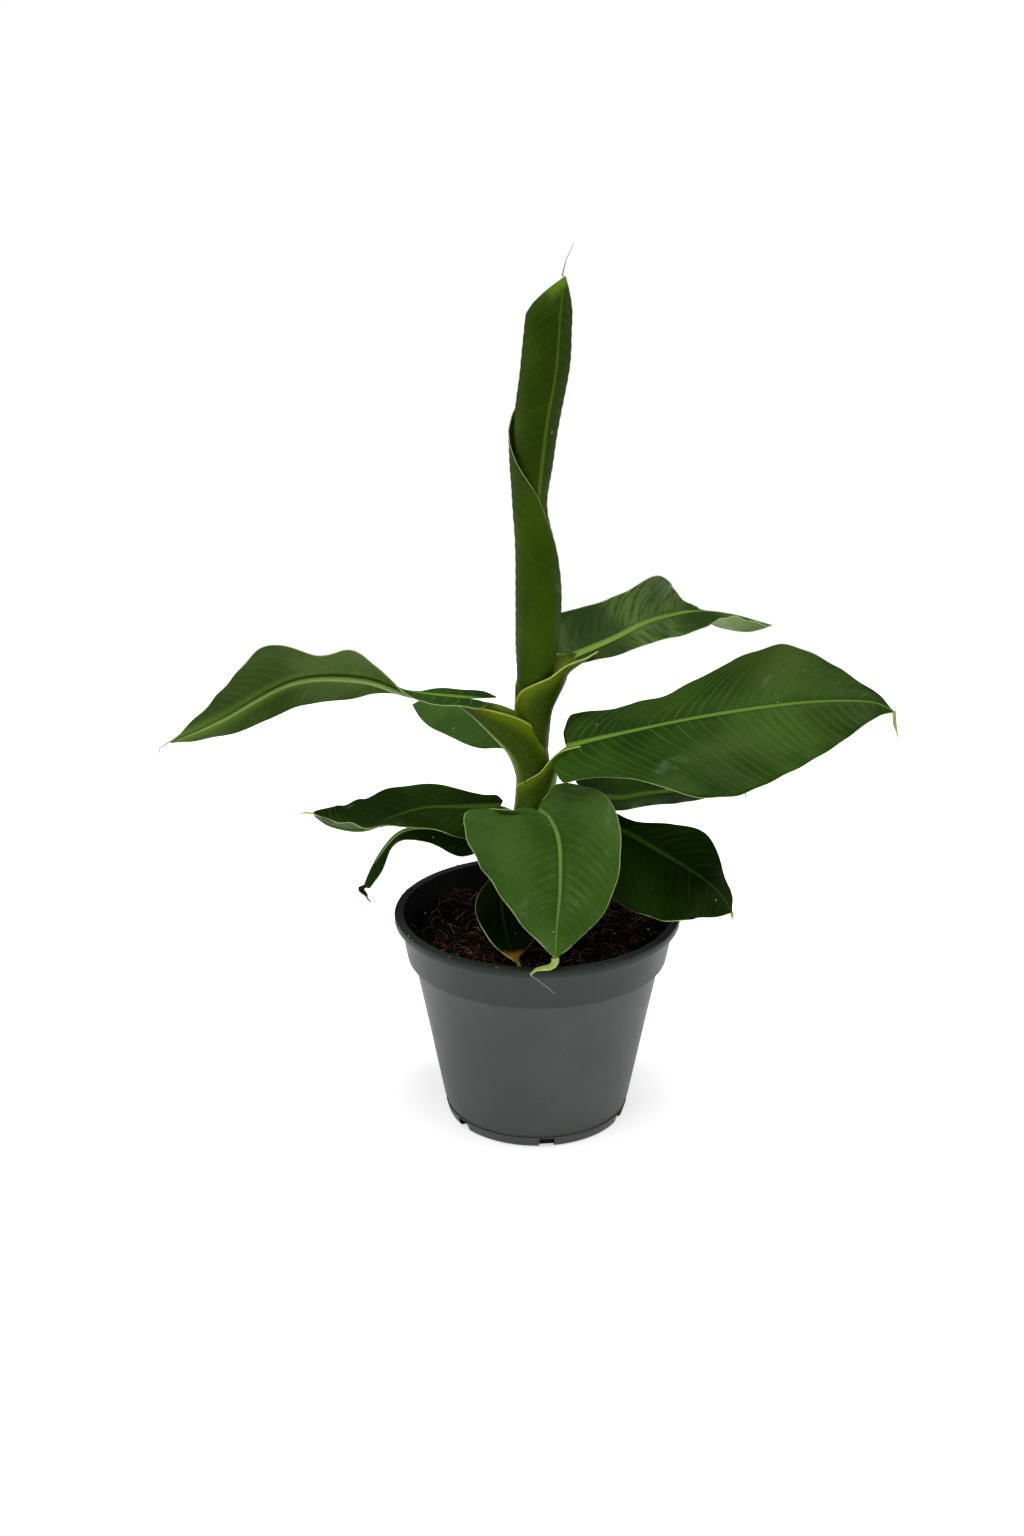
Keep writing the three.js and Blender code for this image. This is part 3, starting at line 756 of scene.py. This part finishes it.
# read evenly from foot to top: centre, radius under the rib, growth in a full turn, and the
# angle past the rib at which the outer margin lies
ROLL_CENTRE = [-3.5, -2.3, -0.9, -0.4, -1.5, -4.5, -3.6, -1.8, 2.0, 4.1, 5.5]
ROLL_RADIUS = [8.0, 9.0, 10.9, 11.4, 10.4, 8.6, 10.6, 12.6, 13.5, 12.8, 12.0]
ROLL_GROWTH = [1.2, 1.2, 1.4, 1.5, 1.6, 1.9, 3.0, 3.4, 3.0, 2.6, 2.4]
ROLL_MARGIN = [440, 440, 437, 428, 402, 370, 292, 212, 150, 100, 70]
ROLL_START = -240
ROLL_DEPTH = 0.9       # its depth front to back, as a share of its width
RIDGE, RIDGE_R = 0.45, 1.1     # of its rib
CROWN = 0.915          # above this share of its height the roll closes to its tip
CROWN_LEAN = 0.68      # how far the tip leans out, in radii


# ---- stem, sheaths and petioles ----
STEM = Spine(STEM_LINE)
ORDER_STEP = 0.42      # room that each sheath leaves for those inside it
STALK_END = 2.2        # how far under the midrib a petiole ends
KEEL_RADII = [2.6, 2.3, 1.9, 1.4, 0.9, 0.35]
KEEL_DEPTH = 0.75      # depth of the keel, as a share of its width


def stem_at(z):
    """Centre and radius of the stem's core at a height."""
    u = min(max((z - STEM_LINE[0][2]) / (STEM_LINE[-1][2] - STEM_LINE[0][2]), 0.0), 1.0)
    place, _ = STEM.at(u)
    return place, along(STEM_RADII, u)


def inner_reach(z, order):
    """Centre and radius of what a sheath has to go round at a height: the core, then the rolled leaf."""
    centre, core = stem_at(z)
    clear = core + 0.5 + ORDER_STEP * order
    if z > ROLL_FOOT:
        share = (z - ROLL_FOOT) / (ROLL_TOP - ROLL_FOOT)
        grown = along(ROLL_GROWTH, share) * along(ROLL_MARGIN, share) / 360
        rolled = along(ROLL_RADIUS, share) + grown + SHEATH_THICKNESS
        if rolled > clear:
            centre, clear = Vector((along(ROLL_CENTRE, share), 0, 0)), rolled
    return centre, clear


def make_stem():
    """The core of the pseudostem: rolled sheaths, ribbed lengthwise, flat at soil level."""
    foot, top = STEM_LINE[0][2], STEM_LINE[-1][2]

    def spot(x, y):
        z = foot + (top - foot) * y
        centre, radius = stem_at(z)
        turn = 2 * math.pi * x
        ribs = 0.12 * math.sin(34 * turn)
        dents = 0.35 * noise.noise(Vector((math.cos(turn), math.sin(turn), z / 40)))
        fold = 0.5 * smooth(0.0, 0.06, (x + 0.15 * y) % 0.5 * 2)
        reach = radius - 0.6 + ribs + dents + fold
        place = Vector((centre.x + reach * math.cos(turn), centre.y + reach * math.sin(turn), z))
        return place, {"Sheath": (0.25 + 0.1 * x, y), "Run": (z / 10, radius * turn / 10)}

    bm = tube_mesh(96, 90, spot)
    piece_from(bm, "stem_core", [SHEATH[0]], ["pseudostem"])


def sheath_spot(leaf, order):
    """The sheath and petiole: a channel that goes round the stem, leaves it and runs to the blade."""
    points = [Vector(p) for p in leaf["stalk"]]
    rib = Spine(leaf["rib"])
    tail, _ = rib.at(0.1)
    line = Spine(points + [tail - UPRIGHT * STALK_END])
    reach = line.length - (tail - points[-1]).length
    outward = (points[-1] - points[0]).xy.normalized()
    level = Vector((-outward.y, outward.x, 0))

    @lru_cache(maxsize=None)
    def row(y):
        place, ahead = line.at(y)
        across = (level - ahead * level.dot(ahead)).normalized()
        keel = across.cross(ahead)
        share = min(y * line.length / reach, 1.0)
        radius = along(leaf["girth"], share)
        if y * line.length > reach:
            radius *= 1 - 0.75 * (y * line.length - reach) / (line.length - reach)
        return place, across, keel, radius, math.radians(along(leaf.get("wrap", WRAP), share)), share

    def spot(x, y):
        place, across, keel, radius, wrap, share = row(round(y, 6))
        a = 2 * x - 1
        turn = a * wrap
        flare = 1 + 0.1 * smooth(0.9, 1.0, abs(a)) * smooth(0.3, 0.6, share)
        ribs = 0.1 * math.sin(radius * turn / 0.6) * (1 - share)
        reach_now = radius * flare + ribs
        point = place + keel * (math.cos(turn) * reach_now) + across * (math.sin(turn) * reach_now)
        centre, clear = inner_reach(point.z, order)
        apart = Vector((point.x - centre.x, point.y - centre.y, 0))
        if apart.length < clear:
            pushed = centre + apart.normalized() * clear
            point = Vector((pushed.x, pushed.y, point.z))
        maps = {"Sheath": (x, share), "Run": (y * line.length / 10, radius * turn / 10)}
        return point, maps

    return spot


def make_stalk(name, leaf, order, rib):
    """A leaf's sheath and petiole as one piece, and the keel under its blade as another."""
    bm = sheet_mesh(64, 90, sheath_spot(leaf, order))
    piece = piece_from(bm, "stalk_" + name, SHEATH, ["petiole_" + name])
    thicken(piece, SHEATH_THICKNESS, offset=-1.0)

    def spot(x, y):
        u = 0.99 * y
        place, _, right, up = rib.frame(u, along(leaf["roll"], u))
        size = along(KEEL_RADII, u)
        turn = 2 * math.pi * x
        depth = KEEL_DEPTH * size * (1 - math.sin(turn)) + BLADE_THICKNESS
        return place + right * (size * math.cos(turn)) - up * depth, {}

    keel = tube_mesh(14, 60, spot)
    piece_from(keel, "keel_" + name, [KEEL])


SPEAR_TIP = Vector((12, 0, ROLL_TOP))
SPEAR_THREAD = [((0, 0, 0), 0.5), ((0.5, 0, 3), 0.35), ((2, 0, 9), 0.2), ((6, 0, 17.5), 0.12)]


def make_tails():
    """Curled drip tips, still green, and the withered threads that they end in."""
    curls = []
    threads = []
    for leaf in LEAVES.values():
        tip = Vector(leaf["rib"][-1])
        marks = [(tip + Vector(step), radius) for step, radius in leaf["tail"]]
        fresh = [mark for mark in marks if mark[1] >= THREAD_R]
        dry = [mark for mark in marks if mark[1] < THREAD_R]
        if fresh:
            curls.append([(tip, fresh[0][1])] + fresh + dry[:1])
        if dry:
            root = fresh[-1][0] if fresh else tip
            threads.append([(root, THREAD_R)] + dry)
    threads.append([(SPEAR_TIP + Vector(step), radius) for step, radius in SPEAR_THREAD])
    piece_from(strands_mesh(curls, sides=8), "leaf_curls", [FRESH])
    piece_from(strands_mesh(threads, sides=8), "leaf_threads", [DRY])


# ---- rolled leaf ----
def roll_spot(x, y):
    margin = along(ROLL_MARGIN, y)
    past = ROLL_START + (margin - ROLL_START) * x
    crown = max(1 - (max(y - CROWN, 0) / (1 - CROWN)) ** 1.6, 0.02)
    base = along(ROLL_RADIUS, y)
    radius = base + along(ROLL_GROWTH, y) * past / 360
    arc = math.radians(past) * base
    ridge = RIDGE * math.exp(-(arc / RIDGE_R) ** 2)
    turn = RIB_TURN + math.radians(past)
    z = ROLL_FOOT + (ROLL_TOP - ROLL_FOOT) * y
    run = z + 0.6 * abs(arc)
    relief = 0.12 * math.cos(2 * math.pi * run / VEIN_PITCH_MM)
    relief += 0.35 * noise.noise(Vector((arc, z, 0)) / 22)
    radius = (radius + ridge + relief) * crown
    centre = along(ROLL_CENTRE, y) + CROWN_LEAN * base * (1 - crown)
    point = Vector((centre + radius * math.cos(turn), ROLL_DEPTH * radius * math.sin(turn), z))
    edge = math.radians(margin - past) * base
    return point, {"Veins": (run / 10, arc / 10), "Margin": (edge / 10, y)}


def make_roll():
    bm = sheet_mesh(150, 160, roll_spot)
    piece = piece_from(bm, "rolled_blade", ROLLED_BLADE, ["rolled_leaf"], sharp=80)
    thicken(piece, BLADE_THICKNESS)


# ---- pot ----
POT_SHARP = 35         # degrees; flatter edges of the pot are shaded smooth


def inner_r(z):
    """Radius of the pot's inner wall at a height."""
    if z >= COLLAR_FOOT_Z:
        share = (z - COLLAR_FOOT_Z) / (POT_HEIGHT - COLLAR_FOOT_Z)
        return COLLAR_FOOT_R + (COLLAR_TOP_R - COLLAR_FOOT_R) * share - WALL
    return BASE_R + (BODY_TOP_R - BASE_R) * z / COLLAR_FOOT_Z - WALL


def inner(z, out=0.0):
    """A profile point at the pot's inner wall, or that far out from it."""
    return inner_r(z) + out, z


def spun(profile, steps):
    """A profile of (radius, height) turned round the upright axis."""
    bm = bmesh.new()
    ring = [bm.verts.new((r * MM, 0, z * MM)) for r, z in profile]
    edges = [bm.edges.new(pair) for pair in zip(ring, ring[1:])]
    bmesh.ops.spin(bm, geom=ring + edges, cent=(0, 0, 0), axis=(0, 0, 1), angle=2 * math.pi,
                   steps=steps, use_merge=True)
    bmesh.ops.remove_doubles(bm, verts=bm.verts, dist=0.001 * MM)
    bmesh.ops.recalc_face_normals(bm, faces=bm.faces)
    return bm


def cutters():
    """The drain notches round the foot and the drain holes in the floor, as one mesh."""
    bm = bmesh.new()
    for i in range(NOTCHES):
        turn = Matrix.Rotation(math.radians(NOTCH_TURN + 360 * i / NOTCHES), 4, "Z")
        size = Matrix.Diagonal((4 * WALL * MM, NOTCH_WIDTH * MM, 2 * NOTCH_HEIGHT * MM, 1))
        bmesh.ops.create_cube(bm, size=1.0, matrix=turn @ Matrix.Translation((BASE_R * MM, 0, 0)) @ size)
    for i in range(DRAIN_HOLES):
        turn = 2 * math.pi * i / DRAIN_HOLES
        x, y = DRAIN_RING_R * MM * math.cos(turn), DRAIN_RING_R * MM * math.sin(turn)
        spot = Matrix.Translation((x, y, 0))
        bmesh.ops.create_cone(bm, cap_ends=True, segments=32, radius1=DRAIN_HOLE_R * MM,
                              radius2=DRAIN_HOLE_R * MM, depth=4 * FLOOR * MM, matrix=spot)
    return bm


def cut_drains(pot):
    """Cuts the drain notches and holes out of the pot's mesh."""
    cutter = new_object("cutters", mesh_from(cutters(), "cutters"))
    boolean = pot.modifiers.new("drains", "BOOLEAN")
    boolean.operation = "DIFFERENCE"
    boolean.object = cutter
    graph = bpy.context.evaluated_depsgraph_get()
    cut_mesh = bpy.data.meshes.new_from_object(pot.evaluated_get(graph))
    pot.modifiers.clear()
    pot.data = cut_mesh
    pot.data.set_sharp_from_angle(angle=math.radians(POT_SHARP))
    bpy.data.objects.remove(cutter)


def shade_stain_inside(pot):
    """Gives the faces of the inner wall, and the sides of the notches, the nearly black look of painted
    shade and stain.
    """
    for face in pot.data.polygons:
        across, height = face.center.xy.length / MM, face.center.z / MM
        inside = FLOOR - 1 < height < POT_HEIGHT - 0.6 and across < inner_r(height) + 0.7
        if inside or (0.1 < height < NOTCH_HEIGHT + 0.5 and across < BASE_R - 1):
            face.material_index = 1


def make_pot():
    """The tapered pot: collar, lip, foot ring, notches and drain holes."""
    slope = (BODY_TOP_R - BASE_R) / COLLAR_FOOT_Z

    def outer(z, out=0.0):
        return BASE_R + slope * z + out, z

    bm = spun([
        (0, 0), (BASE_R - 4, 0), (BASE_R - 2.4, 0), (BASE_R - 0.8, 0.5), (BASE_R, 2),
        outer(FOOT_LINE_Z - 0.3), outer(FOOT_LINE_Z, -0.7),
        outer(FOOT_BAND_Z, -0.6), outer(FOOT_BAND_Z + 0.4), outer(60),
        (BODY_TOP_R, COLLAR_FOOT_Z - 1.6), (BODY_TOP_R + 0.6, COLLAR_FOOT_Z - 0.4),
        (COLLAR_FOOT_R - 1, COLLAR_FOOT_Z), (COLLAR_FOOT_R - 0.2, COLLAR_FOOT_Z + 0.6),
        (COLLAR_FOOT_R + 0.2, COLLAR_FOOT_Z + 2), (COLLAR_TOP_R - 0.2, LIP_Z - 1.4),
        (COLLAR_TOP_R + 0.6, LIP_Z), (RIM_R - 1, LIP_Z), (RIM_R - 0.25, LIP_Z + 0.3), (RIM_R, LIP_Z + 1),
        (RIM_R, POT_HEIGHT - 1.2), (RIM_R - 0.35, POT_HEIGHT - 0.35), (RIM_R - 1.2, POT_HEIGHT),
        inner(POT_HEIGHT, 0.8), (inner_r(POT_HEIGHT) + 0.1, POT_HEIGHT - 0.4), inner(POT_HEIGHT - 2),
        inner(COLLAR_FOOT_Z), inner(COLLAR_FOOT_Z - STEP), inner(FLOOR), (0, FLOOR),
    ], 160)
    looks = [plastic_look(), shade_stain_look()]
    pot = piece_from(bm, "nursery_pot", looks, ["pot"], sharp=POT_SHARP)
    cut_drains(pot)
    shade_stain_inside(pot)


# ---- soil ----
SOIL_RINGS = 46
CRUMBS = 1500
GRIT = 36
FIBRES = 280
PALE_THREADS = 110
FIBRE_POINTS = 9
RIM_CRUMBS = 26
SOIL_REACH = 76        # radius within which things lie on the soil
STEM_CLEAR = 17        # and outside which
LUMP, LUMP_LENGTH = 1.6, 16


def soil_height(x, y):
    """Level of the soil's lumpy top, in millimetres."""
    r = math.hypot(x, y)
    level = SOIL_Z + SOIL_RISE * smooth(0.55 * RIM_R, 0.2 * RIM_R, r)
    lumps = LUMP * noise.fractal(Vector((x, y, 3)) / LUMP_LENGTH, 0.9, 2.1, 5)
    edge = smooth(80, 70, r)
    return level + lumps * (0.4 + 0.6 * edge) - 0.8


def make_soil():
    """The root ball, lumpy on top and down to the pot's floor."""
    gap = 0.3
    foot = NOTCH_HEIGHT + 1
    top_r = inner_r(SOIL_Z) - gap
    wall = [(0, FLOOR + gap), (inner_r(foot) - 3 * WALL, FLOOR + gap), (inner_r(foot) - 3 * WALL, foot),
            inner(foot, -gap), inner(60, -gap), inner(COLLAR_FOOT_Z - STEP, -gap),
            inner(COLLAR_FOOT_Z, -gap), (top_r, SOIL_Z - 2)]
    top = [(top_r * (1 - i / SOIL_RINGS), SOIL_Z) for i in range(1, SOIL_RINGS + 1)]
    bm = spun(wall + top, 150)
    for vertex in bm.verts:
        if vertex.co.z > (SOIL_Z - 1) * MM:
            vertex.co.z = soil_height(vertex.co.x / MM, vertex.co.y / MM) * MM
    piece_from(bm, "soil_bed", [soil_look()], ["soil"], sharp=180)


def soil_spot(reach):
    """A random place on the soil, clear of the stem."""
    while True:
        x, y = chance.uniform(-reach, reach), chance.uniform(-reach, reach)
        if STEM_CLEAR < math.hypot(x, y) < reach:
            return x, y


def add_crumb(bm, place, size):
    """One small uneven lump."""
    long, wide, high = chance.uniform(0.7, 1.5), chance.uniform(0.7, 1.2), chance.uniform(0.4, 0.9)
    stretch = Matrix.Diagonal((long, wide, high, 1))
    turn = Matrix.Rotation(chance.uniform(0, 6.28), 4, Vector((chance.random(), chance.random(), 0.5)))
    spot = Matrix.Translation(Vector(place) * MM) @ turn @ stretch
    made = bmesh.ops.create_icosphere(bm, subdivisions=1, radius=size * MM, matrix=spot)
    for vertex in made["verts"]:
        vertex.co += Vector([chance.uniform(-0.16, 0.16) * size * MM for _ in range(3)])


def make_crumbs(name, count, low, high, material):
    """Small uneven lumps that lie on the soil."""
    bm = bmesh.new()
    for _ in range(count):
        x, y = soil_spot(SOIL_REACH + 0.5)
        size = chance.uniform(low, high) * chance.uniform(0.6, 1.0)
        add_crumb(bm, (x, y, soil_height(x, y) + 0.25 * size), size)
    piece_from(bm, name, [material], sharp=30)


def make_rim_crumbs(material):
    """Specks of soil left under and on the outside of the pot's lip."""
    bm = bmesh.new()
    for _ in range(RIM_CRUMBS):
        turn = chance.uniform(0, 2 * math.pi)
        size = chance.uniform(0.4, 1.0)
        reach, z = chance.choice([(COLLAR_TOP_R + 0.9, LIP_Z - 0.3), (RIM_R - 0.7, POT_HEIGHT)])
        add_crumb(bm, (reach * math.cos(turn), reach * math.sin(turn), z), size)
    piece_from(bm, "rim_crumbs", [material], sharp=30)


def make_fibres(name, count, length, radius, lift, material):
    """Curling coir threads and roots that lie on the soil and stand off it a little."""
    strands = []
    for _ in range(count):
        x, y = soil_spot(SOIL_REACH - 2)
        heading = chance.uniform(0, 2 * math.pi)
        bend = chance.uniform(-0.5, 0.5)
        reach = chance.uniform(0.4, 1.0) * length
        thick = chance.uniform(0.6, 1.0) * radius
        hump = chance.uniform(0.1, 1.0) * lift
        strand = []
        for i in range(FIBRE_POINTS):
            share = i / (FIBRE_POINTS - 1)
            inside = min(1.0, SOIL_REACH / max(math.hypot(x, y), 1e-6))
            x, y = x * inside, y * inside
            z = soil_height(x, y) + thick + hump * math.sin(math.pi * share)
            strand.append(((x, y, z), thick * (1 - 0.5 * share)))
            heading += bend + chance.uniform(-0.3, 0.3)
            x += reach / FIBRE_POINTS * math.cos(heading)
            y += reach / FIBRE_POINTS * math.sin(heading)
        strands.append(strand)
    piece_from(strands_mesh(strands), name, [material], sharp=180)


# ---- stage, in metres ----
STAGE_R = 0.95
AIM = Vector((0, 0, 0.2))      # what the lights are turned to
NEAR_GLOW, FAR_GLOW = 0.58, 1.05
FILL = 0.14            # strength of the far world as a light


def make_floor():
    """A round white floor whose surface glows as painted light: less near the pot, where a faint shadow
    shows, more away from it into the white all round.
    """
    bm = bmesh.new()
    bmesh.ops.create_circle(bm, cap_ends=True, segments=128, radius=STAGE_R)
    mesh = mesh_from(bm, "floor")
    look = Look("pale_floor", roughness=0.8, specular=0.1)
    parts = look.add("ShaderNodeSeparateXYZ", {0: look.place()})
    flat = look.pack(parts.outputs[0], parts.outputs[1])
    away = look.add("ShaderNodeVectorMath", {0: flat}, operation="LENGTH").outputs["Value"]
    glow = look.scale(look.step(away, 0.05, 0.26), NEAR_GLOW, FAR_GLOW)
    look.shader.inputs["Emission Color"].default_value = (1, 1, 1, 1)
    look.join(glow, look.shader.inputs["Emission Strength"])
    mesh.materials.append(look.set((0.86, 0.86, 0.86, 1)))
    floor = new_object("floor", mesh)


def softbox(name, place, size, power):
    """A rectangular area light at a place, turned to the plant."""
    light = bpy.data.lights.new(name, "AREA")
    light.shape = "RECTANGLE"
    light.size, light.size_y = size
    light.energy = power
    holder = new_object(name, light)
    holder.location = place
    holder.rotation_euler = (AIM - Vector(place)).to_track_quat("-Z", "Y").to_euler()


def light_stage():
    """Soft light from above and a strip at each side; the far world is white, its fill is dim."""
    softbox("top_softbox", (0.1, -0.25, 2.0), (1.6, 1.2), 30)
    softbox("left_softbox", (-1.7, 0.2, 0.9), (0.6, 1.6), 8)
    softbox("right_softbox", (1.7, 0.2, 0.9), (0.6, 1.6), 8)
    softbox("front_softbox", (-0.6, -2.2, 1.3), (1.2, 0.9), 7)
    world = bpy.data.worlds.new("studio")
    bpy.context.scene.world = world
    world.use_nodes = True
    tree = world.node_tree
    seen = tree.nodes.new("ShaderNodeLightPath")
    strength = tree.nodes.new("ShaderNodeMapRange")
    strength.inputs["To Min"].default_value = FILL
    tree.links.new(seen.outputs["Is Camera Ray"], strength.inputs["Value"])
    background = tree.nodes["Background"]
    background.inputs["Color"].default_value = (1, 1, 1, 1)
    tree.links.new(strength.outputs["Result"], background.inputs["Strength"])


def make_camera():
    """The camera, looking down a little at the whole plant."""
    data = bpy.data.cameras.new("camera")
    data.lens = LENS
    data.sensor_width = SENSOR
    camera = new_object("camera", data)
    tilt = math.radians(ELEVATION)
    back = Vector((0, -math.cos(tilt), math.sin(tilt)))
    camera.location = (TARGET + back * DISTANCE) * MM
    camera.rotation_euler = (math.radians(90 - ELEVATION), 0, 0)
    bpy.context.scene.camera = camera
    bpy.context.scene.view_settings.view_transform = "Standard"


make_camera()
make_pot()
make_soil()
# peat crumbs: their own dark brown, darkened nearly to black as painted shade under the leaves
PEAT = plain_grain("peat_crumb", tone(2, 1, 1), tone(18, 10, 6))
PALE_GRIT = plain_grain("pale_grit", tone(150, 140, 120), tone(214, 208, 196))
COIR = plain_grain("coir", tone(20, 10, 6), tone(112, 66, 40), scale=110.0)
DRY_ROOT = plain_grain("dry_root", tone(112, 78, 50), tone(184, 152, 112))
DRIED_PEAT = plain_grain("dried_peat", tone(52, 40, 26), tone(150, 132, 100))
make_crumbs("soil_crumbs", CRUMBS, 0.7, 2.4, PEAT)
make_crumbs("soil_grit", GRIT, 0.4, 0.9, PALE_GRIT)
make_fibres("coir_threads", FIBRES, length=26, radius=0.28, lift=4, material=COIR)
make_fibres("pale_threads", PALE_THREADS, length=17, radius=0.18, lift=5, material=DRY_ROOT)
make_rim_crumbs(DRIED_PEAT)
make_stem()
for order, (name, leaf) in enumerate(LEAVES.items()):
    make_stalk(name, leaf, order, make_blade(name, leaf))
make_roll()
make_tails()
make_floor()
light_stage()
